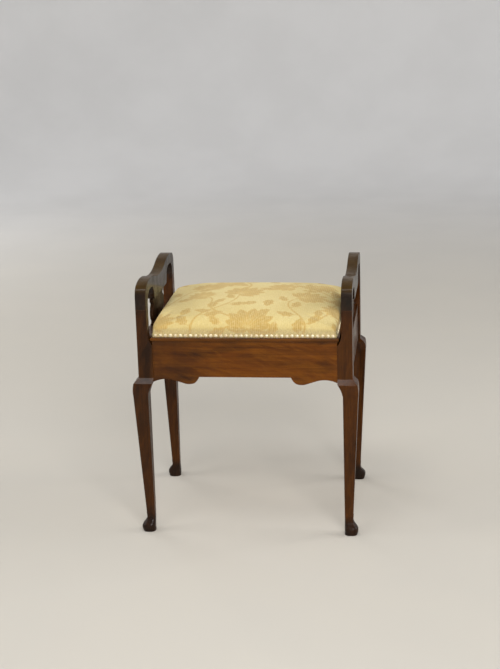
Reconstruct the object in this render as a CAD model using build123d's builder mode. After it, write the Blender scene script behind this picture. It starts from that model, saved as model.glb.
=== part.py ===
from build123d import *
import math
import os

# Piano stool with a lift-up upholstered lid, in millimetres.
# The origin is on the floor under the middle of the stool, +X to the sitter's right, -Y to the front.

# Overall sizes
post_span_x = 498.0  # over the outer faces of the posts, side to side
post_span_y = 384.0  # over the outer faces of the posts, front to back
box_top = 472.0  # floor to the top of the seat rails, where the lid rests
end_rise = 134.0  # top of the seat rails to the top of the handle rails

# Seat rails
rail_height = 86.0
rail_thickness = 22.0
front_rail_setback = 2.0  # from the outer faces of the posts
side_rail_setback = 4.5
tenon_thickness = 8.0
tenon_height = 50.0
tenon_drop = 17.0  # box top to the top of the tenons
long_tenon = 18.0
short_tenon = 15.0
bracket_drop = 12.5  # lower edge at the legs, below the straight lower edge
step_run = 107.0  # shaped lower edge of the front and rear rails, measured inward from the legs
step_width = 12.0
step_bend = 0.6  # share of the drop reached halfway along the step
lobe_run = 85.0
lobe_width = 14.0
lobe_drop = 17.5
lobe_curl = 2.0
cove_run = 26.0
cove_width = 20.0
cove_drop = 5.5
side_cove_run = 39.0

# Legs: reach and inset are measured from the outer face of the post
post_width = 25.0  # square post beside the lid
block_width = 35.0  # square block that takes the seat rails
flare_rise = 18.0  # the post begins to widen this far above the box top
flare_height = 28.0
knee_drop = 3.0  # upper line of the knee, below the straight lower edge of the rails
knee_slope = 11.0  # height of the sloping top of the knee
knee_depth = 28.0  # height of the rounded front of the knee
knee_reach = 13.0
knee_round = 2.0
bracket_bend_run = 0.46  # middle of the curve under the block, as shares of its width and height
bracket_bend_drop = 0.37
leg_inset = 22.5  # inner faces of the leg, all the way down
leg_edge_round = 0.8  # corners of the leg under the knee
ankle_inset = 2.3
ankle_height = 47.0
ankle_round = 4.0
instep_inset = 2.6
instep_height = 35.0
instep_round = 5.0
arch_reach = 1.0
arch_height = 26.0
arch_round = 7.5
toe_top_reach = 7.4
toe_top_height = 18.0
toe_top_round = 11.0
toe_reach = 9.0
toe_height = 9.0
toe_round = 12.0
sole_reach = 6.5
sole_round = 11.0

# Handle rails
joint_drop = 60.0  # top of the humps to the joint on the posts
crest_inset = 60.0  # outer face of the posts to the top of each hump
crest_dip = 18.0
shoulder_run = 40.0
shoulder_drop = 5.5
handle_depth = 24.0  # wood above each hand hole
hand_hole_width = 83.0
hand_hole_round = 30.0
centre_depth = 44.0  # height of the rail at its middle
centre_round = 9.0
post_tenon_width = 12.0
post_tenon_length = 20.0

# Splats
splat_thickness = 8.0
splat_setback = 10.0  # from the outer faces of the posts
splat_margin = 14.0  # from the ear to the edge of the hand hole
splat_ear_reach = 6.0  # ear, belly and foot, measured from the waist
splat_belly_reach = 9.0
splat_foot_inset = 6.0
splat_ear_height = 14.0
splat_notch = 3.5
splat_foot_height = 9.0
splat_tongue_half = 50.0
splat_tongue = 6.0

# Box floor
floor_thickness = 4.0
floor_clearance = 0.5
cleat_size = 11.0
cleat_rise = 1.0  # cleats sit this far above the straight lower edge of the rails
cleat_end_gap = 12.0

# Lid frame
lid_side_gap = 6.0  # from the posts
lid_overhang = 3.0  # past the front rail
lid_lip = 8.0  # thickness of the moulded edge
lid_nosing = 2.0
lid_thickness = 20.0
lid_ledge = 6.0  # the upholstered part stands back this far from the moulded edge
lid_member_width = 45.0
board_thickness = 6.0
board_rebate = 10.0
board_clearance = 0.3

# Upholstery
pad_shoulder_height = 30.0  # above the lid frame
pad_shoulder_inset = 14.0
pad_crown_height = 46.0  # above the lid frame
cover_thickness = 1.2
cover_gap = 0.3
nail_head_radius = 3.9
nail_head_height = 2.5
nail_shank_radius = 0.8
nail_shank_length = 5.5
nail_point = 1.5
nail_height = 4.2  # above the moulded edge
nail_pitch = 11.4
nail_corner_gap = 8.0

# Hinges
hinge_inset = 86.0  # end of the lid to the middle of each hinge
hinge_length = 50.0
hinge_knuckles = 5
knuckle_radius = 3.0
knuckle_gap = 0.3
knuckle_end_gap = 0.1
leaf_width = 18.0
leaf_thickness = 1.8
leaf_gap = 0.1  # from the joint line to each leaf
leaf_clearance = 0.1  # round the edges of a leaf in its recess
pin_radius = 1.5
pin_clearance = 0.05
screw_head_radius = 2.8
screw_head_height = 1.4
screw_shank_radius = 1.4
screw_length = 9.5
screw_pitch = 17.0
screw_clearance = 0.1

# Places worked out from the sizes above
face_x = post_span_x / 2
face_y = post_span_y / 2
crest_height = box_top + end_rise
rail_bottom = box_top - rail_height
bracket_height = rail_bottom - bracket_drop
knee_foot = rail_bottom - knee_drop - knee_slope - knee_depth
knee_foot_reach = knee_reach - knee_round / 4
shoulder_x = face_x - block_width
shoulder_y = face_y - block_width
cross_outside = face_y - front_rail_setback
cross_inside = cross_outside - rail_thickness
cross_middle = cross_outside - rail_thickness / 2
side_outside = face_x - side_rail_setback
side_inside = side_outside - rail_thickness
side_middle = side_outside - rail_thickness / 2
tenon_middle = box_top - tenon_drop - tenon_height / 2
joint_height = crest_height - joint_drop
crest_underside = crest_height - crest_dip - centre_depth
hole_outer = face_y - post_width
hole_inner = hole_outer - hand_hole_width
splat_middle = face_x - splat_setback - splat_thickness / 2
cleat_bottom = rail_bottom + cleat_rise
floor_bottom = cleat_bottom + cleat_size
lid_half_x = face_x - post_width - lid_side_gap
lid_half_y = cross_outside + lid_overhang / 2
lid_middle_y = -lid_overhang / 2
lip_top = box_top + lid_lip
lid_top = box_top + lid_thickness
hinge_offset = lid_half_x - hinge_inset
hinge_axis_y = cross_outside + knuckle_radius + knuckle_gap
knuckle_length = hinge_length / hinge_knuckles
screw_row_y = cross_outside - leaf_width / 2


def save(piece, name):
    """Label a finished piece and write its file."""
    piece.part.label = name
    export_step(piece.part, f"parts/{name}.step")


def knee_outline(side, face):
    """Outline of a knee and its post seen square on: side is -1 or 1, face is the outer face of the post."""
    knee_root = rail_bottom - knee_drop
    knee_crest = knee_root - knee_slope
    knee_middle = (knee_crest + knee_foot) / 2
    flare_top = box_top + flare_rise
    bend_inset = leg_inset + bracket_bend_run * (block_width - leg_inset)
    bend_height = bracket_height - bracket_bend_drop * (bracket_height - knee_foot)

    def at(out, height):
        return (side * (face + out), height)

    with BuildSketch() as outline:
        with BuildLine():
            Line(at(-leg_inset, knee_foot), at(knee_foot_reach, knee_foot))
            ThreePointArc(
                at(knee_foot_reach, knee_foot), at(knee_reach, knee_middle), at(knee_reach - knee_round, knee_crest)
            )
            Line(at(knee_reach - knee_round, knee_crest), at(0, knee_root))
            Line(at(0, knee_root), at(0, joint_height))
            Line(at(0, joint_height), at(-post_width, joint_height))
            Line(at(-post_width, joint_height), at(-post_width, flare_top))
            TangentArc(at(-post_width, flare_top), at(-block_width, flare_top - flare_height), tangent=(0, -1))
            Line(at(-block_width, flare_top - flare_height), at(-block_width, bracket_height))
            ThreePointArc(at(-block_width, bracket_height), at(-bend_inset, bend_height), at(-leg_inset, knee_foot))
        make_face()
    return outline.sketch


def leg_section(side, end, height, reach, corner):
    """Level section of a leg: a square with rounded corners, its inner faces at the leg's inset."""
    width = reach + leg_inset
    middle = (reach - leg_inset) / 2
    with BuildSketch(Plane.XY.offset(height)) as section:
        with Locations((side * (face_x + middle), end * (face_y + middle))):
            RectangleRounded(width, width, corner)
    return section.sketch


def make_leg(side, end):
    """A leg with its pad foot and post in one piece: side is -1 for left, end is -1 for front."""
    span = block_width + knee_reach
    post_middle = (side * (face_x - post_width / 2), end * (face_y - post_width / 2), joint_height)
    ankle = (ankle_height, -ankle_inset, ankle_round)
    foot_sections = (
        (0, sole_reach, sole_round),
        (toe_height, toe_reach, toe_round),
        (toe_top_height, toe_top_reach, toe_top_round),
        (arch_height, arch_reach, arch_round),
        (instep_height, -instep_inset, instep_round),
        ankle,
    )
    with BuildPart() as leg:
        with BuildSketch(Plane.XZ.offset(-end * face_y)):
            add(knee_outline(side, face_x))
        extrude(amount=span, both=True)
        with BuildSketch(Plane.YZ.offset(side * face_x)):
            add(knee_outline(end, face_y))
        extrude(amount=span, both=True, mode=Mode.INTERSECT)
        shank = [leg_section(side, end, *ankle), leg_section(side, end, knee_foot, knee_foot_reach, leg_edge_round)]
        loft(shank, ruled=True)
        loft([leg_section(side, end, *place) for place in foot_sections])
        with Locations(post_middle):
            Box(post_tenon_width, post_tenon_width, 2 * post_tenon_length)
        with Locations((side * shoulder_x, end * cross_middle, tenon_middle)):
            Box(2 * long_tenon, tenon_thickness, tenon_height, mode=Mode.SUBTRACT)
        with Locations((side * side_middle, end * shoulder_y, tenon_middle)):
            Box(tenon_thickness, 2 * short_tenon, tenon_height, mode=Mode.SUBTRACT)
    return leg


def apron_outline():
    """Outline of the front and rear rails seen from the front."""
    step = shoulder_x - step_run
    lobe = shoulder_x - lobe_run
    cove = shoulder_x - cove_run
    lobe_bottom = rail_bottom - lobe_drop
    cove_top = rail_bottom - cove_drop
    with BuildSketch() as outline:
        with BuildLine():
            Line((0, rail_bottom), (step, rail_bottom))
            ThreePointArc(
                (step, rail_bottom),
                (step + step_width / 2, rail_bottom - lobe_drop * step_bend),
                (step + step_width, lobe_bottom + lobe_curl),
            )
            ThreePointArc(
                (step + step_width, lobe_bottom + lobe_curl),
                (lobe, lobe_bottom),
                (lobe + lobe_width, lobe_bottom + lobe_curl),
            )
            Line((lobe + lobe_width, lobe_bottom + lobe_curl), (cove - cove_width, cove_top - lobe_curl))
            ThreePointArc((cove - cove_width, cove_top - lobe_curl), (cove, cove_top), (shoulder_x, bracket_height))
            Line((shoulder_x, bracket_height), (shoulder_x, box_top))
            Line((shoulder_x, box_top), (0, box_top))
            mirror(about=Plane.YZ)
        make_face()
    return outline.sketch


def make_cross_rail(end):
    """Front or rear seat rail with a tenon at each end."""
    with BuildPart() as rail:
        with BuildSketch(Plane.XZ.offset(-end * cross_inside)):
            add(apron_outline())
        extrude(amount=-end * rail_thickness)
        with Locations((0, end * cross_middle, tenon_middle)):
            Box(2 * (shoulder_x + long_tenon), tenon_thickness, tenon_height)
    return rail


def make_side_rail(side):
    """Side rail with a tenon at each end and a slot for the splat."""
    cove_start = shoulder_y - side_cove_run
    with BuildPart() as rail:
        with BuildSketch(Plane.YZ.offset(side * side_inside)):
            with BuildLine():
                Line((0, rail_bottom), (cove_start, rail_bottom))
                TangentArc((cove_start, rail_bottom), (shoulder_y, bracket_height), tangent=(1, 0))
                Line((shoulder_y, bracket_height), (shoulder_y, box_top))
                Line((shoulder_y, box_top), (0, box_top))
                mirror(about=Plane.YZ)
            make_face()
        extrude(amount=side * rail_thickness)
        with Locations((side * side_middle, 0, tenon_middle)):
            Box(tenon_thickness, 2 * (shoulder_y + short_tenon), tenon_height)
        with Locations((side * splat_middle, 0, box_top)):
            Box(splat_thickness, 2 * splat_tongue_half, 2 * splat_tongue, mode=Mode.SUBTRACT)
    return rail


def make_handle_rail(side):
    """Double-humped rail across the posts of one end."""
    crest = face_y - crest_inset
    dip_height = crest_height - crest_dip
    shoulder = crest + shoulder_run
    shoulder_height = crest_height - shoulder_drop
    shoulder_turn = 2 * math.atan2(shoulder_drop, shoulder_run)
    corner_drop = (face_y - shoulder) * math.tan((shoulder_turn + math.pi / 2) / 2)
    hole_top = crest_height - handle_depth
    hole_spring = hole_top - hand_hole_round
    post_x = side * (face_x - post_width / 2)
    post_y = face_y - post_width / 2
    with BuildPart() as rail:
        with BuildSketch(Plane.YZ.offset(side * (face_x - post_width))):
            with BuildLine():
                dip = TangentArc((0, dip_height), (crest / 2, dip_height + crest_dip / 2), tangent=(1, 0))
                hump = TangentArc(dip @ 1, (crest, crest_height), tangent=dip % 1)
                fall = TangentArc(hump @ 1, (shoulder, shoulder_height), tangent=(1, 0))
                corner = TangentArc(fall @ 1, (face_y, shoulder_height - corner_drop), tangent=fall % 1)
                Line(corner @ 1, (face_y, joint_height))
                Line((face_y, joint_height), (hole_outer, joint_height))
                Line((hole_outer, joint_height), (hole_outer, hole_spring))
                TangentArc((hole_outer, hole_spring), (hole_outer - hand_hole_round, hole_top), tangent=(0, 1))
                Line((hole_outer - hand_hole_round, hole_top), (hole_inner + hand_hole_round, hole_top))
                TangentArc((hole_inner + hand_hole_round, hole_top), (hole_inner, hole_spring), tangent=(-1, 0))
                Line((hole_inner, hole_spring), (hole_inner, crest_underside + centre_round))
                TangentArc(
                    (hole_inner, crest_underside + centre_round),
                    (hole_inner - centre_round, crest_underside),
                    tangent=(0, -1),
                )
                Line((hole_inner - centre_round, crest_underside), (0, crest_underside))
                mirror(about=Plane.YZ)
            make_face()
        extrude(amount=side * post_width)
        with Locations((post_x, post_y, joint_height), (post_x, -post_y, joint_height)):
            Box(post_tenon_width, post_tenon_width, 2 * post_tenon_length, mode=Mode.SUBTRACT)
        with Locations((side * splat_middle, 0, crest_underside)):
            Box(splat_thickness, 2 * splat_tongue_half, 2 * splat_tongue, mode=Mode.SUBTRACT)
    return rail


def make_splat(side):
    """Shaped board between the handle rail and the side rail."""
    top = crest_underside
    waist = hole_inner - splat_margin - splat_ear_reach
    ear_low = top - splat_ear_height
    belly_top = ear_low - 2 * splat_notch
    foot_top = box_top + splat_foot_height
    belly_low = foot_top + 2 * splat_notch
    with BuildPart() as splat:
        with BuildSketch(Plane.YZ.offset(side * (splat_middle - splat_thickness / 2))):
            with BuildLine():
                Polyline(
                    (0, top + splat_tongue),
                    (splat_tongue_half, top + splat_tongue),
                    (splat_tongue_half, top),
                    (waist, top),
                )
                ThreePointArc((waist, top), (waist + splat_ear_reach, top - splat_ear_height / 2), (waist, ear_low))
                ThreePointArc((waist, ear_low), (waist - splat_notch, ear_low - splat_notch), (waist, belly_top))
                belly_middle = (belly_top + belly_low) / 2
                ThreePointArc((waist, belly_top), (waist + splat_belly_reach, belly_middle), (waist, belly_low))
                ThreePointArc((waist, belly_low), (waist - splat_notch, foot_top + splat_notch), (waist, foot_top))
                ThreePointArc(
                    (waist, foot_top),
                    (waist, box_top + splat_foot_height / 2),
                    (waist - splat_foot_inset, box_top),
                )
                Polyline(
                    (waist - splat_foot_inset, box_top),
                    (splat_tongue_half, box_top),
                    (splat_tongue_half, box_top - splat_tongue),
                    (0, box_top - splat_tongue),
                )
                mirror(about=Plane.YZ)
            make_face()
        extrude(amount=side * splat_thickness)
    return splat


def make_box_floor():
    """Thin floor of the music box, notched round the four leg blocks."""
    with BuildPart() as floor:
        with BuildSketch(Plane.XY.offset(floor_bottom)):
            Rectangle(2 * (side_inside - floor_clearance), 2 * (shoulder_y - floor_clearance))
            Rectangle(2 * (shoulder_x - floor_clearance), 2 * (cross_inside - floor_clearance))
        extrude(amount=floor_thickness)
    return floor


def make_cleat(along_x, direction):
    """Strip glued to the inside of a seat rail to carry the box floor."""
    middle = cleat_bottom + cleat_size / 2
    with BuildPart() as cleat:
        if along_x:
            with Locations((0, direction * (cross_inside - cleat_size / 2), middle)):
                Box(2 * (shoulder_x - cleat_end_gap), cleat_size, cleat_size)
        else:
            with Locations((direction * (side_inside - cleat_size / 2), 0, middle)):
                Box(cleat_size, 2 * (cross_inside - cleat_size - cleat_end_gap), cleat_size)
    return cleat


def make_lid_member(out_x, out_y):
    """One mitred member of the lid frame; out_x and out_y point away from the middle of the lid."""
    half_out = lid_half_x if out_x else lid_half_y
    half_along = lid_half_y if out_x else lid_half_x
    edge = (out_x * half_out, lid_middle_y + out_y * half_out, box_top)
    along = (-out_y, out_x, 0)
    board_bed = lid_thickness - board_thickness
    board_edge = lid_member_width - board_rebate
    with BuildPart() as member:
        with BuildSketch(Plane(edge, x_dir=(-out_x, -out_y, 0), z_dir=along)):
            with BuildLine():
                ThreePointArc((lid_nosing, 0), (0, lid_lip / 2), (lid_nosing, lid_lip))
                Polyline(
                    (lid_nosing, lid_lip),
                    (lid_ledge, lid_lip),
                    (lid_ledge, lid_thickness),
                    (board_edge, lid_thickness),
                    (board_edge, board_bed),
                    (lid_member_width, board_bed),
                    (lid_member_width, 0),
                    (lid_nosing, 0),
                )
            make_face()
        extrude(amount=half_along, both=True)
        with BuildSketch(Plane(edge, x_dir=along, z_dir=(0, 0, 1))):
            with BuildLine():
                Polyline(
                    (-half_along, 0),
                    (half_along, 0),
                    (half_along - lid_member_width, lid_member_width),
                    (lid_member_width - half_along, lid_member_width),
                    close=True,
                )
            make_face()
        extrude(amount=lid_thickness, mode=Mode.INTERSECT)
    return member


def make_lid_board():
    """Board let into the lid frame under the stuffing."""
    inset = lid_member_width - board_rebate + board_clearance
    with BuildPart() as board:
        with Locations((0, lid_middle_y, lid_top - board_thickness / 2)):
            Box(2 * (lid_half_x - inset), 2 * (lid_half_y - inset), board_thickness)
    return board


def cushion_outline(half, grow, foot):
    """Crowned outline with drawn-in sides, grown by an even amount and cut off level at its foot."""
    shoulder = half - pad_shoulder_inset
    with BuildSketch() as outline:
        with BuildLine():
            crown = ThreePointArc(
                (-shoulder, lid_top + pad_shoulder_height),
                (0, lid_top + pad_crown_height),
                (shoulder, lid_top + pad_shoulder_height),
            )
            TangentArc(crown @ 1, (half, lid_top), tangent=crown % 1)
            TangentArc(crown @ 0, (-half, lid_top), tangent=-(crown % 0))
            skirt_end = lip_top - cover_thickness - cover_gap
            Polyline((half, lid_top), (half, skirt_end), (-half, skirt_end), (-half, lid_top))
        make_face()
        if grow:
            offset(amount=grow)
        with Locations((0, foot)):
            clip = (Align.CENTER, Align.MIN)
            Rectangle(4 * half, 2 * (pad_crown_height + lid_thickness), align=clip, mode=Mode.INTERSECT)
    return outline.sketch


def make_cushion(grow, foot):
    """Solid bounded by the cushion outline both ways."""
    half_x = lid_half_x - lid_ledge
    half_y = lid_half_y - lid_ledge
    with BuildPart() as cushion:
        with BuildSketch(Plane.XZ.offset(-lid_middle_y)):
            add(cushion_outline(half_x, grow, foot))
        extrude(amount=lid_half_y, both=True)
        with BuildSketch(Plane((0, lid_middle_y, 0), x_dir=(0, 1, 0), z_dir=(1, 0, 0))):
            add(cushion_outline(half_y, grow, foot))
        extrude(amount=lid_half_x, both=True, mode=Mode.INTERSECT)
    return cushion


def make_seat_cover():
    """Fabric skin over the pad, down to the moulded edge of the lid."""
    hollow = make_cushion(0, lip_top)
    cover = make_cushion(cover_thickness, lip_top)
    with BuildPart() as skin:
        add(cover.part)
        add(hollow.part, mode=Mode.SUBTRACT)
    return skin


def nail_places():
    """Place and facing of every cover nail, row by row round the lid."""
    half_x = lid_half_x - lid_ledge + cover_thickness
    half_y = lid_half_y - lid_ledge + cover_thickness
    height = lip_top + nail_height
    places = []
    for out_x, out_y in ((0, -1), (1, 0), (0, 1), (-1, 0)):
        half_out = half_x if out_x else half_y
        run = (half_y if out_x else half_x) - nail_corner_gap
        count = int(2 * run / nail_pitch) + 1
        for index in range(count):
            along = -run + 2 * run * index / (count - 1)
            point = (out_x * half_out - out_y * along, lid_middle_y + out_y * half_out + out_x * along, height)
            places.append(Location(Plane(point, x_dir=(0, 0, 1), z_dir=(out_x, out_y, 0))))
    return places


def make_cover_nails():
    """Close-set domed nails that hold the lower edge of the cover."""
    with BuildPart() as nail:
        with BuildSketch(Plane.XZ):
            with BuildLine():
                TangentArc((0, nail_head_height), (nail_head_radius, 0), tangent=(1, 0))
                Polyline(
                    (nail_head_radius, 0),
                    (nail_shank_radius, 0),
                    (nail_shank_radius, nail_point - nail_shank_length),
                    (0, -nail_shank_length),
                    (0, nail_head_height),
                )
            make_face()
        revolve(axis=Axis.Z)
    with BuildPart() as nails:
        with Locations(*nail_places()):
            add(nail.part)
    return nails


def screw_profile(clearance):
    """Half section of a countersunk screw, or of its hole, with the head's face at the origin."""
    head = screw_head_radius + clearance
    shank = screw_shank_radius + clearance
    with BuildSketch() as profile:
        with BuildLine():
            Polyline(
                (0, 0),
                (head, 0),
                (shank, -screw_head_height),
                (shank, -screw_length),
                (0, -screw_length),
                close=True,
            )
        make_face()
    return profile.sketch


def screw_places(centre, leaf_side):
    """Places of the screws of one leaf: leaf_side is -1 for the rail and 1 for the lid."""
    height = box_top + leaf_side * leaf_gap
    rows = [(centre + step * screw_pitch, screw_row_y, height) for step in (-1, 0, 1)]
    return [Location(Plane(row, x_dir=(1, 0, 0), z_dir=(0, 0, -leaf_side))) for row in rows]


def make_screws(leaf_side):
    """All the screws through the leaves of one side."""
    with BuildPart() as screw:
        with BuildSketch(Plane.XZ):
            add(screw_profile(0))
        revolve(axis=Axis.Z)
    with BuildPart() as screws:
        for side in (-1, 1):
            with Locations(*screw_places(side * hinge_offset, leaf_side)):
                add(screw.part)
    return screws


def make_leaf(side, leaf_side):
    """Hinge leaf with its knuckles: leaf_side is -1 for the rail and 1 for the lid."""
    centre = side * hinge_offset
    plate_z = box_top + leaf_side * (leaf_gap + leaf_thickness / 2)
    first = 0 if leaf_side < 0 else 1
    with BuildPart() as hole:
        with BuildSketch(Plane.XZ):
            add(screw_profile(screw_clearance))
        revolve(axis=Axis.Z)
    with BuildPart() as leaf:
        with Locations((centre, screw_row_y, plate_z)):
            Box(hinge_length, leaf_width, leaf_thickness)
        for index in range(first, hinge_knuckles, 2):
            knuckle_x = centre + (index + 0.5) * knuckle_length - hinge_length / 2
            run = hinge_axis_y - cross_outside
            with Locations((knuckle_x, cross_outside + run / 2, plate_z)):
                Box(knuckle_length - 2 * knuckle_end_gap, run, leaf_thickness)
            with Locations((knuckle_x, hinge_axis_y, box_top)):
                Cylinder(knuckle_radius, knuckle_length - 2 * knuckle_end_gap, rotation=(0, 90, 0))
        with Locations((centre, hinge_axis_y, box_top)):
            Cylinder(pin_radius + pin_clearance, hinge_length, rotation=(0, 90, 0), mode=Mode.SUBTRACT)
        with Locations(*screw_places(centre, leaf_side)):
            add(hole.part, mode=Mode.SUBTRACT)
    return leaf


def make_pin(side):
    """Hinge pin."""
    with BuildPart() as pin:
        with Locations((side * hinge_offset, hinge_axis_y, box_top)):
            Cylinder(pin_radius, hinge_length, rotation=(0, 90, 0))
    return pin


def cut_leaf_beds(piece, leaf_side):
    """Shallow beds for the two leaves in the rear rail or the rear member of the lid."""
    depth = leaf_gap + leaf_thickness
    bed_width = leaf_width + leaf_clearance
    with BuildPart() as bedded:
        add(piece.part)
        for side in (-1, 1):
            with Locations((side * hinge_offset, cross_outside - bed_width / 2, box_top + leaf_side * depth / 2)):
                Box(hinge_length + 2 * leaf_clearance, bed_width, depth, mode=Mode.SUBTRACT)
    return bedded


os.makedirs("parts", exist_ok=True)
ends = {"front": -1, "rear": 1}
sides = {"left": -1, "right": 1}

for end_name, end in ends.items():
    for side_name, side in sides.items():
        save(make_leg(side, end), f"{end_name}_{side_name}_leg")
    save(make_cleat(True, end), f"{end_name}_cleat")

for side_name, side in sides.items():
    save(make_handle_rail(side), f"{side_name}_handle_rail")
    save(make_splat(side), f"{side_name}_splat")
    save(make_side_rail(side), f"{side_name}_side_rail")
    save(make_cleat(False, side), f"{side_name}_cleat")
    save(make_lid_member(side, 0), f"lid_{side_name}_member")
    save(make_leaf(side, -1), f"{side_name}_hinge_rail_leaf")
    save(make_leaf(side, 1), f"{side_name}_hinge_lid_leaf")
    save(make_pin(side), f"{side_name}_hinge_pin")

save(make_cross_rail(-1), "front_seat_rail")
save(cut_leaf_beds(make_cross_rail(1), -1), "rear_seat_rail")
save(make_box_floor(), "box_floor")
save(make_lid_member(0, -1), "lid_front_member")
save(cut_leaf_beds(make_lid_member(0, 1), 1), "lid_rear_member")
save(make_lid_board(), "lid_board")
save(make_cushion(-cover_gap, lid_top), "seat_pad")
save(make_seat_cover(), "seat_cover")
save(make_cover_nails(), "cover_nails")
save(make_screws(-1), "rail_hinge_screws")
save(make_screws(1), "lid_hinge_screws")
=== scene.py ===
import math

import bpy
import numpy as np
from mathutils import Matrix, Vector


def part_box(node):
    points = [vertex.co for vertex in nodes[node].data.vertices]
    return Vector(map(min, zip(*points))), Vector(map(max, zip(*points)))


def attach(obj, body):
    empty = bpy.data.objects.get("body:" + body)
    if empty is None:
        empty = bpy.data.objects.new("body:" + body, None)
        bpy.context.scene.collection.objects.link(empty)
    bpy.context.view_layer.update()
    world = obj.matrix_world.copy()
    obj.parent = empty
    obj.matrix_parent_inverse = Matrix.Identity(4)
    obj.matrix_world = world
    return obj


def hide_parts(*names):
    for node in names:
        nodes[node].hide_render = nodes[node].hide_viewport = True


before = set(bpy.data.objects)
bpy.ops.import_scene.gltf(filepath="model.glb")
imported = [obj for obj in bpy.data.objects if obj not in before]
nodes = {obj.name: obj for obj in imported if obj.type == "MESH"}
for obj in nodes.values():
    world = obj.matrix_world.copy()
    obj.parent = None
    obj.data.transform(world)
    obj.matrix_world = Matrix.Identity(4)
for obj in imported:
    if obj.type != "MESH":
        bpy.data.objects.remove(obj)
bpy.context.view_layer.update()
scene = bpy.context.scene


class Value:
    """A number that changes over a surface; arithmetic on it adds Math nodes."""

    def __init__(self, tree, socket):
        self.tree = tree
        self.socket = socket

    def math(self, operation, first, second=0.0):
        return self.tree.value("ShaderNodeMath", {"operation": operation}, {0: first, 1: second})

    def __add__(self, other):
        return self.math("ADD", self, other)

    def __sub__(self, other):
        return self.math("SUBTRACT", self, other)

    def __rsub__(self, other):
        return self.math("SUBTRACT", other, self)

    def __mul__(self, other):
        return self.math("MULTIPLY", self, other)

    __radd__ = __add__
    __rmul__ = __mul__

    def sine(self):
        return self.math("SINE", self)

    def step(self, low, high):
        """A soft step, 0 at low and 1 at high."""
        sockets = {"Value": self, "From Min": low, "From Max": high}
        return self.tree.value("ShaderNodeMapRange", {"interpolation_type": "SMOOTHSTEP"}, sockets)


class Tree:
    """A node tree in the making."""

    def __init__(self, tree):
        self.tree = tree

    def add(self, kind, settings=None, sockets=None):
        """Add a node: its settings first, then the values or links of its sockets."""
        node = self.tree.nodes.new(kind)
        for name, setting in (settings or {}).items():
            setattr(node, name, setting)
        for name, given in (sockets or {}).items():
            given = given.socket if isinstance(given, Value) else given
            if isinstance(given, bpy.types.NodeSocket):
                self.tree.links.new(given, node.inputs[name])
            else:
                node.inputs[name].default_value = given
        return node

    def value(self, kind, settings=None, sockets=None, output=0):
        return Value(self, self.add(kind, settings, sockets).outputs[output])


class Finish(Tree):
    """A material in the making."""

    def __init__(self, name):
        self.material = bpy.data.materials.new(name)
        self.material.use_nodes = True
        super().__init__(self.material.node_tree)
        self.tree.nodes.clear()
        self.place = self.add("ShaderNodeTexCoord").outputs["Object"]
        apart = self.add("ShaderNodeSeparateXYZ", None, {0: self.place})
        self.axis = {letter: Value(self, apart.outputs[i]) for i, letter in enumerate("xyz")}

    def noise(self, scale, detail=3.0, shift=(0, 0, 0), distortion=0.0, tilt=0.0):
        """Smooth noise; scale is in features per metre along x, y and z, tilt turns it about y."""
        sizes = [1 / features for features in scale]
        place = {"Vector": self.place, "Location": shift, "Rotation": (0, tilt, 0), "Scale": sizes}
        at = self.add("ShaderNodeMapping", {"vector_type": "TEXTURE"}, place)
        sockets = {"Vector": at.outputs[0], "Scale": 1.0, "Detail": detail, "Distortion": distortion}
        return self.value("ShaderNodeTexNoise", None, sockets)

    def blend(self, share, under, over):
        """One colour laid over another."""
        colours = [c if isinstance(c, bpy.types.NodeSocket) else (*c, 1.0) for c in (under, over)]
        sockets = {0: share, 6: colours[0], 7: colours[1]}
        return self.add("ShaderNodeMix", {"data_type": "RGBA"}, sockets).outputs[2]

    def surface(self, colour, height, relief, normal=None, **sockets):
        """Finish with a principled shader; height is the relief in metres times relief."""
        lift = {"Height": height, "Distance": relief, "Strength": 1.0}
        if normal:
            lift["Normal"] = normal
        bump = self.add("ShaderNodeBump", None, lift)
        given = {name.replace("_", " "): socket for name, socket in sockets.items()}
        given = {"Base Color": colour, "Normal": bump.outputs[0], **given}
        shader = self.add("ShaderNodeBsdfPrincipled", None, given)
        self.add("ShaderNodeOutputMaterial", None, {"Surface": shader.outputs[0]})
        return self.material


# Finishes of the wood: pale, middle and dark tone of each walnut

WALNUT_FIGURED = ((0.250, 0.082, 0.004), (0.138, 0.038, 0.002), (0.048, 0.013, 0.001))
WALNUT_BROWN = ((0.215, 0.075, 0.006), (0.118, 0.036, 0.003), (0.046, 0.014, 0.002))
WALNUT_RED = ((0.134, 0.042, 0.003), (0.056, 0.0165, 0.0015), (0.014, 0.0045, 0.001))
WALNUT_DARK = ((0.060, 0.023, 0.005), (0.027, 0.0105, 0.003), (0.009, 0.005, 0.002))
# Upper faces of the handles: rubbed by hands, with painted light from above
RUBBED_AND_LIT_TOP = (0.066, 0.034, 0.006)
RAW_WOOD = (0.30, 0.17, 0.085)
# Near black, for grime and for painted shade
GRIME_AND_SHADE = (0.009, 0.005, 0.003)
EDGE_ROUND = 0.0024  # worn round of the wood's edges
GRAIN_RELIEF = 0.00010


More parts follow.
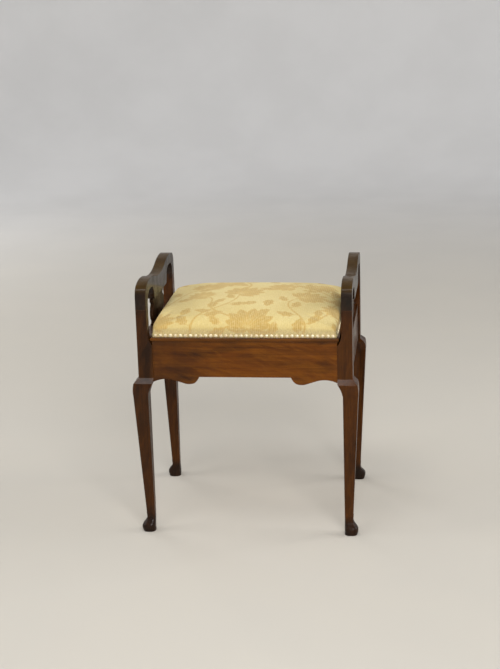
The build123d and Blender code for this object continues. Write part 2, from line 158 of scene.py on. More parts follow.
def polished_walnut(name, along, tones, shift, grime_and_shade=(), raw=None, figure=0.12, gloss=0.23, worn=None):
    """Old french-polished walnut with its grain along one axis.

    Each darkening entry is (axis, clean, dark, amount): where age and handling have darkened the polish, and
    where shade is painted in, as under the lid.
    raw is (axis, polished, bare), where the inner face of a piece was never polished.
    worn is the colour of upper faces, which hands have rubbed lighter and which carry painted light from
    above.
    """
    pale, mid, dark = tones
    wood = Finish(name)

    def grain(lengthwise, across, detail, distortion=0.0, tilt=0.0):
        scale = [across] * 3
        scale["xyz".index(along)] = lengthwise
        return wood.noise(scale, detail, shift, distortion, tilt)

    clouds = grain(7.0, 24.0, 4.0, 1.0).step(0.26, 0.62)
    bands = grain(2.5, 62.0, 4.0, 0.6).step(0.38, 0.70)
    wisps = grain(16.0, 74.0, 5.0, 0.8, 0.26).step(0.42, 0.68)
    knots = grain(24.0, 48.0, 4.0, 0.6).step(0.58, 0.76)
    streaks = grain(11.0, 330.0, 4.0).step(0.36, 0.66)
    pores = grain(120.0, 1700.0, 2.0).step(0.60, 0.69)
    smears = wood.noise((30.0, 30.0, 22.0), 3.0, shift).step(0.35, 0.70)

    rounded = wood.add("ShaderNodeBevel", {"samples": 6}, {"Radius": EDGE_ROUND}).outputs[0]
    flat = wood.add("ShaderNodeNewGeometry").outputs["True Normal"]
    pair = {0: rounded, 1: flat}
    facing = wood.value("ShaderNodeVectorMath", {"operation": "DOT_PRODUCT"}, pair, "Value")
    edge = facing.step(0.995, 0.84)

    colour = wood.blend(clouds, dark, mid)
    colour = wood.blend(bands * 0.30, colour, pale)
    colour = wood.blend(wisps * figure, colour, pale)
    colour = wood.blend(knots * figure, colour, dark)
    colour = wood.blend(streaks * 0.28, colour, dark)
    colour = wood.blend(pores * 0.45, colour, GRIME_AND_SHADE)
    # Darkening along an axis: grime of age and handling, and painted shade under the lid
    for axis, clean, black, amount in grime_and_shade:
        darkened = wood.axis[axis].step(clean, black)
        colour = wood.blend(darkened * (amount - 0.20 * smears), colour, GRIME_AND_SHADE)
    # Rounded edges paler: wood worn at the edges, and a painted highlight along them
    colour = wood.blend(edge * (0.22 + 0.26 * smears), colour, pale)
    polish = 1.0 - 0.15 * smears
    roughness = 0.34 + 0.16 * smears - 0.06 * edge
    if worn:
        # Upward faces lighter: hand wear, and painted light falling from above
        upward = wood.value("ShaderNodeSeparateXYZ", None, {0: flat}, 2).step(0.25, 0.85)
        colour = wood.blend(upward * (0.85 - 0.30 * smears), colour, worn)
        polish = polish * (1.0 - 0.38 * upward)
    if raw:
        axis, polished, bare = raw
        inside = wood.axis[axis].step(polished, bare)
        plain = wood.blend(streaks * 0.5, RAW_WOOD, mid)
        colour = wood.blend(inside * 0.85, colour, plain)
        roughness = roughness + inside * 0.4
        polish = polish * (1.0 - inside * 0.95)
    height = 0.6 * streaks - pores + 0.4 * smears
    return wood.surface(
        colour, height, GRAIN_RELIEF, rounded, Roughness=roughness, Coat_Weight=polish * gloss,
        Coat_Roughness=0.07, Specular_IOR_Level=0.06,
    )


def bare_wood(name, along, shift):
    """Pale unpolished wood for the hidden boards and strips."""
    wood = Finish(name)
    scale = [210.0] * 3
    scale["xyz".index(along)] = 7.0
    streaks = wood.noise(scale, 4.0, shift).step(0.32, 0.70)
    stains = wood.noise((14.0, 11.0, 17.0), 4.0, shift, 0.8).step(0.40, 0.75)
    colour = wood.blend(streaks, (0.40, 0.25, 0.13), (0.55, 0.38, 0.21))
    colour = wood.blend(stains * 0.5, colour, (0.24, 0.14, 0.07))
    return wood.surface(colour, streaks, 0.00015, Roughness=0.72 + 0.12 * stains, Specular_IOR_Level=0.25)


def aged_brass(name, bright, dull, roughness):
    """Brass with a worn shine and brown tarnish in patches."""
    brass = Finish(name)
    patches = brass.noise((130.0, 130.0, 130.0), 4.0).step(0.42, 0.68)
    scratches = brass.noise((900.0, 900.0, 240.0), 2.0)
    colour = brass.blend(patches * 0.75, bright, dull)
    worn = roughness + 0.20 * patches + 0.08 * scratches
    return brass.surface(colour, scratches, 0.00004, Metallic=1.0, Roughness=worn)


def dress(node, material):
    """Give a carried-over piece its finish."""
    mesh = nodes[node].data
    mesh.materials.clear()
    mesh.materials.append(material)


def inner_face(node, letter):
    """Where a rail's polish ends: just outside its inner face, the one nearest the middle of the stool."""
    low, high = (getattr(corner, letter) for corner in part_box(node))
    face = low if abs(low) < abs(high) else high
    out = math.copysign(1.0, face)
    return letter, face + 0.0010 * out, face + 0.0001 * out


# Grime on the handles, on the tops and feet of the legs and on the darker front left leg; painted shade on the
# front rail under the lid, the rail also darker towards its left end
handled = (("z", 0.500, 0.575, 0.70),)
worn_leg = (("z", 0.525, 0.548, 0.55), ("z", 0.052, 0.026, 0.88))
dark_side = (("x", 0.0, -0.2, 0.36),)
# Painted shadow along the front rail's top under the lid's overhang; the rail also darker towards its left end
lid_shadow_and_dark_left = (("z", 0.464, 0.474, 0.6), ("x", 0.00, -0.19, 0.55))

for end in ("front", "rear"):
    for index, side in enumerate(("left", "right")):
        leg = f"{end}_{side}_leg"
        shift = (1.7 * index, 3.1 if end == "rear" else 0.4, 0.9 * index)
        grime_and_shade = worn_leg + dark_side if leg == "front_left_leg" else worn_leg
        dress(leg, polished_walnut(f"walnut_{leg}", "z", WALNUT_RED, shift, grime_and_shade, figure=0.24))
for index, side in enumerate(("left", "right")):
    shift = (2.3 + index, 5.2, 1.1)
    handle = f"{side}_handle_rail"
    dress(handle, polished_walnut(
        f"walnut_{handle}", "y", WALNUT_DARK, shift, handled, figure=0.04, gloss=0.34, worn=RUBBED_AND_LIT_TOP,
    ))
    splat = f"{side}_splat"
    dress(splat, polished_walnut(f"walnut_{splat}", "z", WALNUT_DARK, shift, handled, gloss=0.10))
    rail = f"{side}_side_rail"
    dress(rail, polished_walnut(f"walnut_{rail}", "y", WALNUT_RED, shift, raw=inner_face(rail, "x")))
    dress(f"lid_{side}_member", polished_walnut(f"walnut_lid_{side}", "y", WALNUT_BROWN, shift))
    dress(f"{side}_cleat", bare_wood(f"bare_{side}_cleat", "y", shift))
for end, tones, shift, grime_and_shade, figure in (
    ("front", WALNUT_FIGURED, (0.2, 0.6, 0.35), lid_shadow_and_dark_left, 0.34),
    ("rear", WALNUT_RED, (4.2, 0.6, 0.3), (), 0.12),
):
    rail = f"{end}_seat_rail"
    dress(rail, polished_walnut(f"walnut_{rail}", "x", tones, shift, grime_and_shade, inner_face(rail, "y"), figure))
    dress(f"lid_{end}_member", polished_walnut(f"walnut_lid_{end}", "x", WALNUT_BROWN, shift))
    dress(f"{end}_cleat", bare_wood(f"bare_{end}_cleat", "x", shift))
dress("box_floor", bare_wood("bare_box_floor", "x", (2.3, 0.5, 0.0)))
dress("lid_board", bare_wood("bare_lid_board", "y", (3.3, 0.5, 0.0)))
hinge_brass = aged_brass("hinge_brass", (0.62, 0.43, 0.17), (0.22, 0.13, 0.05), 0.26)
for node in nodes:
    if "_hinge_" in node:
        dress(node, hinge_brass)


# Cover and pad: a top grid of cells with rings of cells down the sides

CELL = 0.0045
COVER_THICKNESS = 0.0011
SWELL_LIMIT = 0.0025
SWELL_STEPS = 20
CROWN_ROOM = 0.0012  # left under the top of the cushion for the swelling
CORNER_SAG = 0.0060
PAD_DEPTH = 0.0019  # from the outer face of the cover to the pad
PAD_FOOT_RISE = 0.003  # the pad takes the rings of the cover above this height
PAD_EDGE_RISE = 0.0012
PAD_CLEARANCE = 0.0003  # over the lid board
CREASE_DEPTH = 0.0006
CREASE_RISE = 0.004
CREASE_FADE = 0.009
SIDE_HEIGHT = 0.030  # where the flat cut of the cover turns down
lid_low, lid_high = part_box("lid_board")
middle_y = (lid_low.y + lid_high.y) / 2
wood_top = lid_high.z
ledge = 0.006  # the upholstered part stands back this far from the moulded edge
half_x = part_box("lid_right_member")[1].x - ledge
half_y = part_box("lid_rear_member")[1].y - middle_y - ledge
crown_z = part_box("seat_cover")[1].z
# Outward reach from the wood, height above the frame and corner radius of each ring, from the nails up
SIDE_RINGS = (
    (0.0012, -0.0118, 0.0014), (0.0012, -0.0085, 0.0014), (0.0012, -0.0050, 0.0016),
    (0.0014, -0.0015, 0.0024), (0.0021, 0.0020, 0.0045), (0.0030, 0.0058, 0.0080),
    (0.0036, 0.0098, 0.0120), (0.0035, 0.0140, 0.0170), (0.0024, 0.0182, 0.0220),
    (0.0003, 0.0222, 0.0270), (-0.0030, 0.0256, 0.0320), (-0.0072, 0.0284, 0.0370),
    (-0.0122, 0.0304, 0.0420),
)
NAIL_SEAT = SIDE_RINGS[0][0]
cells_x = int(2 * half_x / CELL)
cells_y = int(2 * half_y / CELL)


def side_line(share, half_along, half_out, radius):
    """Points along one side of a rounded rectangle, from one corner's middle to the next: along, out."""
    straight = half_along - radius
    reach = share * (straight + radius * math.pi / 4)
    turn = np.clip((np.abs(reach) - straight) / radius, 0, None)
    along = np.where(turn > 0, np.sign(reach) * (straight + radius * np.sin(turn)), reach)
    return along, half_out - radius * (1 - np.cos(turn))


def outline_ring(reach, radius):
    """A rounded rectangle as one closed loop of points, front left corner first."""
    share_x = np.linspace(-1, 1, cells_x + 1)
    share_y = np.linspace(-1, 1, cells_y + 1)
    along_x, out_y = side_line(share_x, half_x + reach, half_y + reach, radius)
    along_y, out_x = side_line(share_y, half_y + reach, half_x + reach, radius)
    front = np.column_stack((along_x, -out_y))[:-1]
    right = np.column_stack((out_x, along_y))[:-1]
    rear = np.column_stack((along_x, out_y))[::-1][:-1]
    left = np.column_stack((-out_x, along_y))[::-1][:-1]
    return np.concatenate((front, right, rear, left))


def filled_grid(ring):
    """Grid of points inside a loop, blended from its four sides."""
    nx, ny = cells_x, cells_y
    loop = np.concatenate((ring, ring[:1]))
    front = loop[: nx + 1]
    right = loop[nx : nx + ny + 1]
    rear = loop[nx + ny : 2 * nx + ny + 1][::-1]
    left = loop[2 * nx + ny :][::-1]
    s = np.linspace(0, 1, nx + 1)[None, :, None]
    t = np.linspace(0, 1, ny + 1)[:, None, None]
    ruled = (1 - t) * front[None] + t * rear[None] + (1 - s) * left[:, None] + s * right[:, None]
    corners = (1 - t) * ((1 - s) * front[0] + s * front[-1]) + t * ((1 - s) * rear[0] + s * rear[-1])
    return (ruled - corners).reshape(-1, 2)


def loop_index():
    """Grid numbers of the points round the rim of the top grid, in the order of a ring."""
    grid = np.arange((cells_x + 1) * (cells_y + 1)).reshape(cells_y + 1, cells_x + 1)
    return np.concatenate((grid[0, :-1], grid[:-1, -1], grid[-1, :0:-1], grid[:0:-1, 0]))


def box_mesh(name, points, rings, closed):
    """Mesh of a top grid with rings hanging from its rim, and a bottom grid if closed."""
    nx, ny = cells_x, cells_y
    count = (nx + 1) * (ny + 1)
    grid = np.arange(count).reshape(ny + 1, nx + 1)
    top = np.stack((grid[:-1, :-1], grid[:-1, 1:], grid[1:, 1:], grid[1:, :-1]), -1).reshape(-1, 4)
    rim = loop_index()
    faces = [top]
    upper = rim
    for k in range(rings):
        lower = count + k * len(rim) + np.arange(len(rim))
        if closed and k == rings - 1:
            lower = count + k * len(rim) + rim
        faces.append(np.stack((lower, np.roll(lower, -1), np.roll(upper, -1), upper), -1))
        upper = lower
    if closed:
        faces.append(top[:, ::-1] + count + (rings - 1) * len(rim))
    mesh = bpy.data.meshes.new(name)
    mesh.from_pydata(points.tolist(), [], np.concatenate(faces).tolist())
    mesh.polygons.foreach_set("use_smooth", np.ones(len(mesh.polygons), bool))
    return mesh


def add_piece(name, mesh):
    piece = bpy.data.objects.new(name, mesh)
    scene.collection.objects.link(piece)
    return piece


def mesh_points(mesh, field="co"):
    flat = np.empty(3 * len(mesh.vertices))
    if field == "co":
        mesh.vertices.foreach_get("co", flat)
    else:
        mesh.vertex_normals.foreach_get("vector", flat)
    return flat.reshape(-1, 3)


def cover_form():
    """The drawn-down cover before it swells: top grid first, then the rings from the top down."""
    reach, rise, radius = SIDE_RINGS[-1]
    plan = filled_grid(outline_ring(reach, radius))
    a = np.abs(plan[:, 0]) / (half_x + reach)
    b = np.abs(plan[:, 1]) / (half_y + reach)
    crown = crown_z - CROWN_ROOM - wood_top - rise
    sag = CORNER_SAG * (a * b) ** 5
    top = np.column_stack((plan, wood_top + rise + crown * (1 - a**2.3) * (1 - b**2.3) - sag))
    levels = [top]
    for reach, rise, radius in SIDE_RINGS[-2::-1]:
        ring = outline_ring(reach, radius)
        corner = np.abs(ring[:, 0] / (half_x + reach)) * np.abs(ring[:, 1] / (half_y + reach))
        droop = CORNER_SAG * corner**5 * np.clip(rise / SIDE_HEIGHT, 0, 1)
        levels.append(np.column_stack((ring, wood_top + rise - droop)))
    points = np.concatenate(levels)
    points[:, 1] += middle_y
    return points


def swell(mesh):
    """Blow the cover up a little as cloth, held at the nails; no point moves further than the limit."""
    rest = mesh_points(mesh)
    piece = add_piece("cover_form", mesh)
    held = piece.vertex_groups.new(name="held")
    held.add(np.flatnonzero(rest[:, 2] < wood_top - 0.001).tolist(), 1.0, "REPLACE")
    cloth = piece.modifiers.new("cloth", "CLOTH")
    set_up = cloth.settings
    set_up.quality = 5
    set_up.use_pressure = True
    set_up.uniform_pressure_force = 4.0
    set_up.vertex_group_mass = "held"
    set_up.effector_weights.gravity = 0.0
    cloth.collision_settings.use_collision = False
    cloth.point_cache.frame_end = SWELL_STEPS
    for moment in range(1, SWELL_STEPS + 1):
        scene.frame_set(moment)
    blown = bpy.data.meshes.new_from_object(piece.evaluated_get(bpy.context.evaluated_depsgraph_get()))
    moved = mesh_points(blown) - rest
    far = np.linalg.norm(moved, axis=1, keepdims=True)
    bpy.data.objects.remove(piece)
    scene.frame_set(1)
    return rest + moved * np.minimum(1, SWELL_LIMIT / np.maximum(far, 1e-9))


def subdivided(mesh):
    """The mesh after one round of smooth subdivision."""
    piece = add_piece("subdivided", mesh)
    finer = piece.modifiers.new("finer", "SUBSURF")
    finer.levels = finer.render_levels = 1
    result = bpy.data.meshes.new_from_object(piece.evaluated_get(bpy.context.evaluated_depsgraph_get()))
    bpy.data.objects.remove(piece)
    return result


# Nails: places round the lid, close set

NAIL_PITCH = 0.0114
NAIL_CORNER_GAP = 0.008
NAIL_LIFT = 0.0005  # the heads are full, so their row is raised off the moulded edge
NAIL_SIZES = {"Head radius": 0.0047, "Head height": 0.0025, "Unevenness": 0.07, "Seed": 5}
nail_z = sum(corner.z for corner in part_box("cover_nails")) / 2 + NAIL_LIFT


def nail_places():
    """Place and facing of every nail."""
    out_x, out_y = half_x + NAIL_SEAT, half_y + NAIL_SEAT
    places, facings = [], []
    for face_x, face_y in ((0, -1), (1, 0), (0, 1), (-1, 0)):
        run = (out_y if face_x else out_x) - NAIL_CORNER_GAP
        count = int(2 * run / NAIL_PITCH) + 1
        for along in np.linspace(-run, run, count):
            out = out_x if face_x else out_y
            place_y = middle_y + face_y * out + face_x * along
            places.append((face_x * out - face_y * along, place_y, nail_z))
            facings.append((face_x, face_y, 0))
    return np.array(places), np.array(facings)


def nail_tree(material):
    """Domed heads on points, each turned to its facing and a little out of true."""
    group = bpy.data.node_groups.new("nail_row", "GeometryNodeTree")
    group.interface.new_socket("Geometry", in_out="INPUT", socket_type="NodeSocketGeometry")
    for name in ("Head radius", "Head height", "Unevenness"):
        group.interface.new_socket(name, in_out="INPUT", socket_type="NodeSocketFloat")
    group.interface.new_socket("Seed", in_out="INPUT", socket_type="NodeSocketInt")
    group.interface.new_socket("Geometry", in_out="OUTPUT", socket_type="NodeSocketGeometry")
    tree = Tree(group)
    given = tree.add("NodeGroupInput").outputs

    def vector(x, y, z):
        return tree.add("ShaderNodeCombineXYZ", None, {0: x, 1: y, 2: z}).outputs[0]

    def even(length):
        sockets = {0: (1.0, 1.0, 1.0), "Scale": length}
        return tree.add("ShaderNodeVectorMath", {"operation": "SCALE"}, sockets).outputs[0]

    ball = tree.add("GeometryNodeMeshUVSphere", None, {"Segments": 14, "Rings": 9, "Radius": 1.0})
    spot = tree.add("ShaderNodeSeparateXYZ", None, {0: tree.add("GeometryNodeInputPosition").outputs[0]})
    height = Value(tree, spot.outputs[2])
    raised = vector(spot.outputs[0], spot.outputs[1], height.math("MAXIMUM", height, 0.0))
    dome = tree.add("GeometryNodeSetPosition", None, {"Geometry": ball.outputs[0], "Position": raised})
    size = vector(given["Head radius"], given["Head radius"], given["Head height"])
    head = tree.add("GeometryNodeTransform", None, {"Geometry": dome.outputs[0], "Scale": size})
    facing = tree.add("GeometryNodeInputNamedAttribute", {"data_type": "FLOAT_VECTOR"}, {"Name": "facing"})
    unevenness = Value(tree, given["Unevenness"])
    spread = {0: even(unevenness * -1.0), 1: even(unevenness), "Seed": given["Seed"]}
    stray = tree.add("FunctionNodeRandomValue", {"data_type": "FLOAT_VECTOR"}, spread)
    lean = tree.add("ShaderNodeVectorMath", {"operation": "ADD"}, {0: facing.outputs[0], 1: stray.outputs[0]})
    turn = tree.add("FunctionNodeAlignRotationToVector", {"axis": "Z"}, {"Vector": lean.outputs[0]})
    points = tree.add("GeometryNodeMeshToPoints", None, {0: given["Geometry"]})
    spots = {"Points": points.outputs[0], "Instance": head.outputs[0], "Rotation": turn.outputs[0]}
    row = tree.add("GeometryNodeInstanceOnPoints", None, spots)
    whole = tree.add("GeometryNodeRealizeInstances", None, {0: row.outputs[0]})
    smooth = tree.add("GeometryNodeSetShadeSmooth", None, {0: whole.outputs[0]})
    shown = tree.add("GeometryNodeSetMaterial", None, {"Geometry": smooth.outputs[0], "Material": material})
    tree.add("NodeGroupOutput", None, {0: shown.outputs[0]})
    return group


def make_nails():
    """All the nail heads as one plain mesh."""
    places, facings = nail_places()
    seeds = bpy.data.meshes.new("nail_points")
    seeds.from_pydata(places.tolist(), [], [])
    facing = seeds.attributes.new("facing", "FLOAT_VECTOR", "POINT")
    facing.data.foreach_set("vector", facings.astype(np.float32).ravel())
    maker = add_piece("nail_points", seeds)
    brass = aged_brass("nail_brass", (0.88, 0.78, 0.55), (0.62, 0.48, 0.28), 0.48)
    row = maker.modifiers.new("nail_row", "NODES")
    row.node_group = nail_tree(brass)
    for item in row.node_group.interface.items_tree:
        if item.name in NAIL_SIZES:
            row[item.identifier] = NAIL_SIZES[item.name]
    mesh = bpy.data.meshes.new_from_object(maker.evaluated_get(bpy.context.evaluated_depsgraph_get()))
    bpy.data.objects.remove(maker)
    return add_piece("nail_heads", mesh)


# Foliage of the cover: stems, leaves and fan flowers as distances on the flat cloth, in millimetres


class Foliage:
    """Distance of every point of the cloth from the edge of the foliage, and from the leaf ribs."""

    def __init__(self, points):
        self.points = points
        self.edge = np.full(len(points), 30.0)
        self.rib = np.full(len(points), 30.0)

    def leaf(self, base, angle, length, width, bend=0.0, lobes=0, full=0.82):
        """A leaf or petal: base, direction in degrees, length, half width, sideways bend and edge lobes.

        A full above 1 puts the widest place towards the tip.
        """
        way = np.array((math.cos(math.radians(angle)), math.sin(math.radians(angle))))
        away = self.points - np.array(base)
        along = away @ way
        share = np.clip(along / length, 0, 1)
        across = away @ np.array((-way[1], way[0])) - bend * length * share * share
        half = width * np.sin(math.pi * share**full) ** 0.85
        if lobes:
            half = half * (1 - 0.19 * np.cos(2 * math.pi * lobes * share))
        beyond = np.maximum(np.maximum(-along, along - length), 0)
        gap = np.hypot(np.maximum(np.abs(across) - half, 0), beyond)
        inside = np.minimum(half - np.abs(across), np.minimum(along, length - along))
        self.edge = np.minimum(self.edge, np.where(gap > 0, gap, -np.maximum(inside, 0)))
        past = np.maximum(np.maximum(0.06 * length - along, along - 0.86 * length), 0)
        self.rib = np.minimum(self.rib, np.hypot(across, past))

    def stem(self, bends, thick, thin):
        """A tapering stem along a cubic curve; gives back a function for the point and angle along it."""
        p = [np.array(bend, float) for bend in bends]

        def at(t):
            u = 1 - t
            point = u**3 * p[0] + 3 * u * u * t * p[1] + 3 * u * t * t * p[2] + t**3 * p[3]
            slope = u * u * (p[1] - p[0]) + 2 * u * t * (p[2] - p[1]) + t * t * (p[3] - p[2])
            return point, math.degrees(math.atan2(slope[1], slope[0]))

        steps = np.linspace(0, 1, 29)
        line = np.array([at(t)[0] for t in steps])
        for i in range(len(line) - 1):
            run = line[i + 1] - line[i]
            away = self.points - line[i]
            share = np.clip(away @ run / (run @ run), 0, 1)
            gap = np.linalg.norm(away - share[:, None] * run, axis=1)
            self.edge = np.minimum(self.edge, gap - (thick + (thin - thick) * steps[i]) / 2)
        return at

    def fan(self, base, angle, length):
        """A fan flower: seven petals spread from one base, the middle ones longest, over two curled leaves."""
        for k in range(-3, 4):
            lean = k / 3
            petal = length * (1 - 0.32 * lean * lean)
            self.leaf(base, angle + 64 * lean, petal, length * 0.145, 0.10 * lean, 0, 1.7)
        for turn in (-1, 1):
            self.leaf(base, angle + 112 * turn, length * 0.60, length * 0.12, -0.35 * turn, 3)

    def spray(self, at, leaves, length):
        """Leaves on short stalks, on alternate sides of a stem and evenly along it."""
        for k in range(leaves):
            t = 0.16 + 0.70 * k / max(leaves - 1, 1)
            root, angle = at(t)
            side = 1 - 2 * (k % 2)
            size = length * (1.0 - 0.25 * t)
            way = math.radians(angle + 62 * side)
            base = root + 0.26 * size * np.array((math.cos(way), math.sin(way)))
            self.stem((root, (2 * root + base) / 3, (root + 2 * base) / 3, base), 3.0, 2.6)
            self.leaf(base, angle + 50 * side, size, 0.27 * size, -0.24 * side, 3)


def grow(points):
    """The layout of the cloth: scrolling stems with leaves and a flower at the tip, and leaves between."""
    cloth = Foliage(points)
    # Bends of each stem, way of its flower in degrees, number of leaves, lengths of the flower and the leaves
    stems = (
        (((-120, -262), (-150, -110), (-20, -130), (-30, -10)), 60, 5, 74, 50),
        (((70, -262), (250, -190), (20, -130), (120, -30)), 30, 5, 70, 50),
        (((-262, -100), (-150, -90), (-200, 30), (-120, 60)), 70, 4, 66, 50),
        (((30, 262), (-30, 130), (120, 190), (150, 100)), -60, 4, 62, 48),
        (((-262, 236), (-206, 130), (-110, 236), (-72, 132)), -80, 4, 60, 48),
        (((262, -10), (170, -30), (190, 80), (90, 64)), 170, 4, 62, 46),
        (((0, -262), (-16, -240), (-6, -222), (8, -206)), 82, 0, 84, 0),
        (((-262, -206), (-244, -214), (-230, -204), (-218, -190)), 50, 1, 66, 36),
        (((262, -150), (246, -140), (236, -128), (226, -116)), 130, 1, 64, 36),
        (((-160, 262), (-150, 240), (-158, 220), (-166, 204)), -106, 0, 62, 0),
        (((190, 262), (196, 240), (190, 222), (180, 206)), -124, 0, 62, 0),
        (((-40, -160), (-130, -100), (-60, -60), (-110, -20)), 130, 3, 52, 42),
        (((150, -190), (224, -130), (170, -60), (226, -20)), 70, 3, 50, 40),
        (((-26, 40), (20, 110), (-70, 150), (-20, 214)), 70, 3, 50, 42),
        (((-226, 40), (-256, 80), (-190, 90), (-206, 140)), 100, 2, 48, 40),
    )
    for bends, way, leaves, flower, leaf in stems:
        at = cloth.stem(bends, 5.6, 3.4)
        cloth.spray(at, leaves, leaf)
        cloth.fan(at(1.0)[0], way, flower)
    for x, y, way, length in (
        (-84, -226, 16, 46), (128, -250, 24, 44), (52, -60, 250, 46), (-196, -140, 150, 40),
        (226, -216, 100, 46), (50, 30, 140, 42), (96, 232, 20, 44), (-84, 86, 200, 40), (56, -130, 200, 38),
        (-60, -196, 110, 40), (20, -80, 190, 40), (-150, -150, 60, 42), (200, 40, 60, 40),
        (110, 130, 200, 38), (60, -220, 60, 40),
    ):
        cloth.leaf((x, y), way, length, 0.27 * length, 0.20, 3)
    return cloth


RIB_PITCH = 0.0044
THREAD_PITCH = 0.0012
SHADED_HEIGHTS = (0.506, 0.491)  # the cloth has no painted shade above the first height and full painted shade below the second
WEAVE_RELIEF = 0.00028


def woven_cloth(name):
    """Ribbed weave: pale gold ground with tan foliage."""
    cloth = Finish(name)
    cut_place = cloth.add("ShaderNodeUVMap", {"uv_map": "cut"}).outputs[0]
    flat = cloth.add("ShaderNodeSeparateXYZ", None, {0: cut_place})
    u, v = (Value(cloth, flat.outputs[i]) for i in (0, 1))
    edge = cloth.value("ShaderNodeAttribute", {"attribute_name": "edge"}, None, "Fac")
    rib = cloth.value("ShaderNodeAttribute", {"attribute_name": "rib"}, None, "Fac")
    ragged = cloth.noise((420.0, 420.0, 420.0), 2.0) - 0.5
    figure = (edge + ragged * 1.6).step(0.7, -0.7)
    heart = (edge + ragged * 3.0).step(-1.5, -6.5)
    veins = (rib + ragged).step(1.5, 0.5) * figure
    ribs = (u * (2 * math.pi / RIB_PITCH)).sine() * 0.5 + 0.5
    threads = (v * (2 * math.pi / THREAD_PITCH)).sine() * 0.5 + 0.5
    fading = cloth.noise((9.0, 9.0, 9.0), 3.0).step(0.35, 0.70)
    flecks = cloth.noise((700.0, 260.0, 260.0), 2.0).step(0.42, 0.66)
    slubs = cloth.noise((210.0, 150.0, 150.0), 3.0).step(0.50, 0.70)
    painted_low_shade = cloth.axis["z"].step(*SHADED_HEIGHTS)

    ground = cloth.blend(fading, (0.715, 0.560, 0.225), (0.760, 0.620, 0.275))
    ground = cloth.blend(flecks * 0.50, ground, (0.590, 0.445, 0.178))
    tan = cloth.blend(heart, (0.580, 0.362, 0.090), (0.500, 0.302, 0.070))
    tan = cloth.blend(ribs * 0.50, tan, (0.690, 0.488, 0.165))
    colour = cloth.blend(figure * 0.84, ground, tan)
    colour = cloth.blend(veins * 0.50, colour, ground)
    colour = cloth.blend(slubs * 0.30, colour, (0.800, 0.680, 0.365))
    colour = cloth.blend(threads * ribs * 0.20, colour, (0.82, 0.71, 0.43))
    # Painted shade low on the cover's sides, above the nails, mottled by the flecks
    colour = cloth.blend(painted_low_shade * (0.34 + 0.34 * flecks), colour, (0.36, 0.27, 0.16))
    height = ribs * 0.7 + threads * 0.3 + figure * 0.6 + flecks * 0.5
    return cloth.surface(
        colour, height, WEAVE_RELIEF, Roughness=0.92 - 0.06 * figure, Specular_IOR_Level=0.12,
        Sheen_Weight=0.08, Sheen_Roughness=0.5,
    )


def wadding(name):
    """Matted stuffing."""
    pad = Finish(name)
    tufts = pad.noise((90.0, 90.0, 120.0), 5.0, (0, 0, 0), 1.2)
    hairs = pad.noise((700.0, 240.0, 500.0), 3.0, (1, 0, 0), 2.0).step(0.4, 0.7)
    colour = pad.blend(hairs, (0.52, 0.45, 0.34), (0.72, 0.66, 0.55))
    return pad.surface(colour, tufts + 0.4 * hairs, 0.002, Roughness=0.95, Specular_IOR_Level=0.1)


def make_cushion():
    """The swollen cover and the pad under it."""
    form = cover_form()
    mesh = box_mesh("cover_form", form, len(SIDE_RINGS) - 1, False)
    form = swell(mesh)
    mesh = box_mesh("seat_cover_cloth", form, len(SIDE_RINGS) - 1, False)
    mesh.update()
    normals = mesh_points(mesh, "normal")

    count = (cells_x + 1) * (cells_y + 1)
    ring_size = 2 * (cells_x + cells_y)
    rings = sum(rise > PAD_FOOT_RISE for _, rise, _ in SIDE_RINGS[:-1])
    inner = (form - normals * PAD_DEPTH)[: count + ring_size * rings]
    inner[:, 2] = np.maximum(inner[:, 2], wood_top + PAD_EDGE_RISE)
    foot = inner[-ring_size:, :2] * 0.995
    floor = np.column_stack((filled_grid(foot), np.full(count, wood_top + PAD_CLEARANCE)))
    pad_mesh = box_mesh("seat_pad_form", np.concatenate((inner, floor)), rings + 1, True)
    pad = add_piece("seat_pad_stuffing", pad_mesh)
    pad_mesh.materials.append(wadding("wadding"))

    fine = subdivided(mesh)
    points = mesh_points(fine)
    normals = mesh_points(fine, "normal")
    level = np.hypot(normals[:, 0], normals[:, 1])
    away = normals[:, :2] / np.maximum(level, 1e-6)[:, None]

    # The nails pinch the cloth, and it creases above them; the creases fade upwards
    sideways = np.abs(away[:, 0]) > np.abs(away[:, 1])
    lateral = np.where(sideways, points[:, 1] - middle_y, points[:, 0])
    rise = points[:, 2] - nail_z
    fade = np.clip(rise / CREASE_RISE, 0, 1) * np.exp(-np.clip(rise, 0, None) / CREASE_FADE) * level
    crease = np.cos(2 * math.pi * lateral / NAIL_PITCH)
    points[:, :2] += away * (CREASE_DEPTH * crease * fade)[:, None]
    fine.vertices.foreach_set("co", points.ravel())

    drop = np.clip(wood_top + SIDE_HEIGHT - points[:, 2], 0, None) * level
    cut = points[:, :2] - (0, middle_y) + away * drop[:, None]
    foliage = grow(cut * 1000)
    for name, distance in (("edge", foliage.edge), ("rib", foliage.rib)):
        layer = fine.attributes.new(name, "FLOAT", "POINT")
        layer.data.foreach_set("value", distance.astype(np.float32))
    corners = np.empty(len(fine.loops), int)
    fine.loops.foreach_get("vertex_index", corners)
    fine.uv_layers.new(name="cut").uv.foreach_set("vector", cut[corners].astype(np.float32).ravel())
    fine.materials.clear()
    fine.materials.append(woven_cloth("woven_cloth"))
    cover = add_piece("seat_cover_cloth", fine)
    shell = cover.modifiers.new("thickness", "SOLIDIFY")
    shell.thickness = COVER_THICKNESS
    shell.offset = -1.0
    return cover, pad, cut


cover, pad, cut = make_cushion()
nails = make_nails()
for piece, slot, node in (
    (cover, "woven_fabric", "seat_cover"), (pad, "stuffing", "seat_pad"), (nails, "brass", "cover_nails"),
):
    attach(piece, "lid")
    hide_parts(node)


# Stage, light and camera

SENSOR = 36.0
FOCAL_SHARE = 1496.6 / 669.0  # focal length over the height of the picture, both in pixels
CAMERA_ANGLES = (7.274, 15.587, -1.682)  # to the right, upwards and about the line of sight, in degrees
CAMERA_TARGET = (-0.00937, 0, 0.43552)
CAMERA_DISTANCE = 3.6239
LIGHT_TARGET = (0, 0, 0.4)


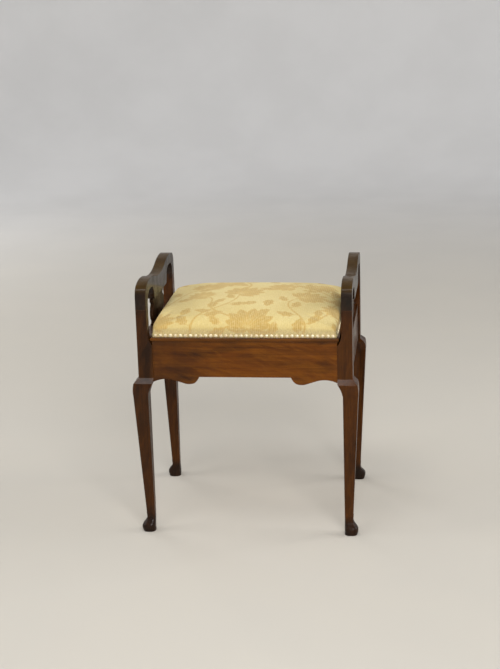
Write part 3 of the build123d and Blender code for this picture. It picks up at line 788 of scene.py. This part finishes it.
def pale_sweep():
    """Plain pale floor that curves up into a backdrop all round."""
    reach, turn, top, around, drop = 5.6, 1.4, 3.8, 72, 0.0002
    bend = np.linspace(0.0, math.pi / 2, 16)
    line = [(reach - turn + turn * math.sin(a), turn - turn * math.cos(a)) for a in bend]
    line += [(reach, top)]
    angles = np.linspace(0, 2 * math.pi, around, endpoint=False)
    points = [(r * math.cos(a), r * math.sin(a), z - drop) for r, z in line for a in angles]
    faces = [tuple(range(around))]
    for k in range(len(line) - 1):
        for i in range(around):
            j = (i + 1) % around
            faces.append((k * around + j, k * around + i, (k + 1) * around + i, (k + 1) * around + j))
    mesh = bpy.data.meshes.new("pale_sweep")
    mesh.from_pydata(points, [], faces)
    mesh.polygons.foreach_set("use_smooth", np.ones(len(faces), bool))
    paint = Finish("pale_paint")
    x, y = paint.axis["x"], paint.axis["y"]
    far = (x * x + y * y).step(1.5, 22.0)
    mottle = paint.noise((3.0, 3.0, 3.0), 3.0).step(0.3, 0.7)
    colour = paint.blend(far, (0.600, 0.562, 0.495), (0.840, 0.830, 0.820))
    colour = paint.blend(mottle * 0.10, colour, (0.500, 0.490, 0.470))
    mesh.materials.append(paint.surface(colour, mottle, 0.0001, Roughness=0.8, Specular_IOR_Level=0.2))
    add_piece("pale_sweep", mesh)


def soft_light(name, place, size, power):
    """A large square lamp that faces the stool."""
    data = bpy.data.lights.new(name, "AREA")
    data.shape = "SQUARE"
    data.size = size
    data.energy = power
    lamp = bpy.data.objects.new(name, data)
    lamp.location = place
    lamp.rotation_euler = (Vector(LIGHT_TARGET) - Vector(place)).to_track_quat("-Z", "Y").to_euler()
    scene.collection.objects.link(lamp)


def set_camera():
    """The camera at the photograph's place and tilt."""
    data = bpy.data.cameras.new("camera")
    data.sensor_width = SENSOR
    data.lens = FOCAL_SHARE * SENSOR
    camera = bpy.data.objects.new("camera", data)
    azimuth, elevation, roll = (math.radians(angle) for angle in CAMERA_ANGLES)
    level = math.cos(elevation)
    back = Vector((math.sin(azimuth) * level, -math.cos(azimuth) * level, math.sin(elevation)))
    right = (-back).cross(Vector((0, 0, 1))).normalized()
    up = right.cross(-back)
    right, up = (
        math.cos(roll) * right + math.sin(roll) * up,
        math.cos(roll) * up - math.sin(roll) * right,
    )
    turn = Matrix((right, up, back)).transposed().to_4x4()
    place = Vector(CAMERA_TARGET) + CAMERA_DISTANCE * back
    camera.matrix_world = Matrix.Translation(place) @ turn
    scene.collection.objects.link(camera)
    scene.camera = camera


pale_sweep()
soft_light("front_light", (1.0, -3.4, 2.5), 1.8, 89.0)
soft_light("top_light", (-0.35, -1.0, 3.2), 0.9, 17.0)
soft_light("left_light", (-3.4, -0.6, 2.4), 2.0, 38.0)
soft_light("right_light", (3.4, 0.4, 2.0), 2.0, 52.0)
soft_light("rear_light", (-3.0, 2.8, 1.9), 1.8, 36.0)
world = bpy.data.worlds.new("soft_room")
world.use_nodes = True
room = Tree(world.node_tree)
room.tree.nodes.clear()
glow = room.add("ShaderNodeBackground", None, {"Color": (0.95, 0.97, 1.0, 1.0), "Strength": 0.32})
room.add("ShaderNodeOutputWorld", None, {"Surface": glow.outputs[0]})
scene.world = world
scene.view_settings.view_transform = "Standard"
set_camera()
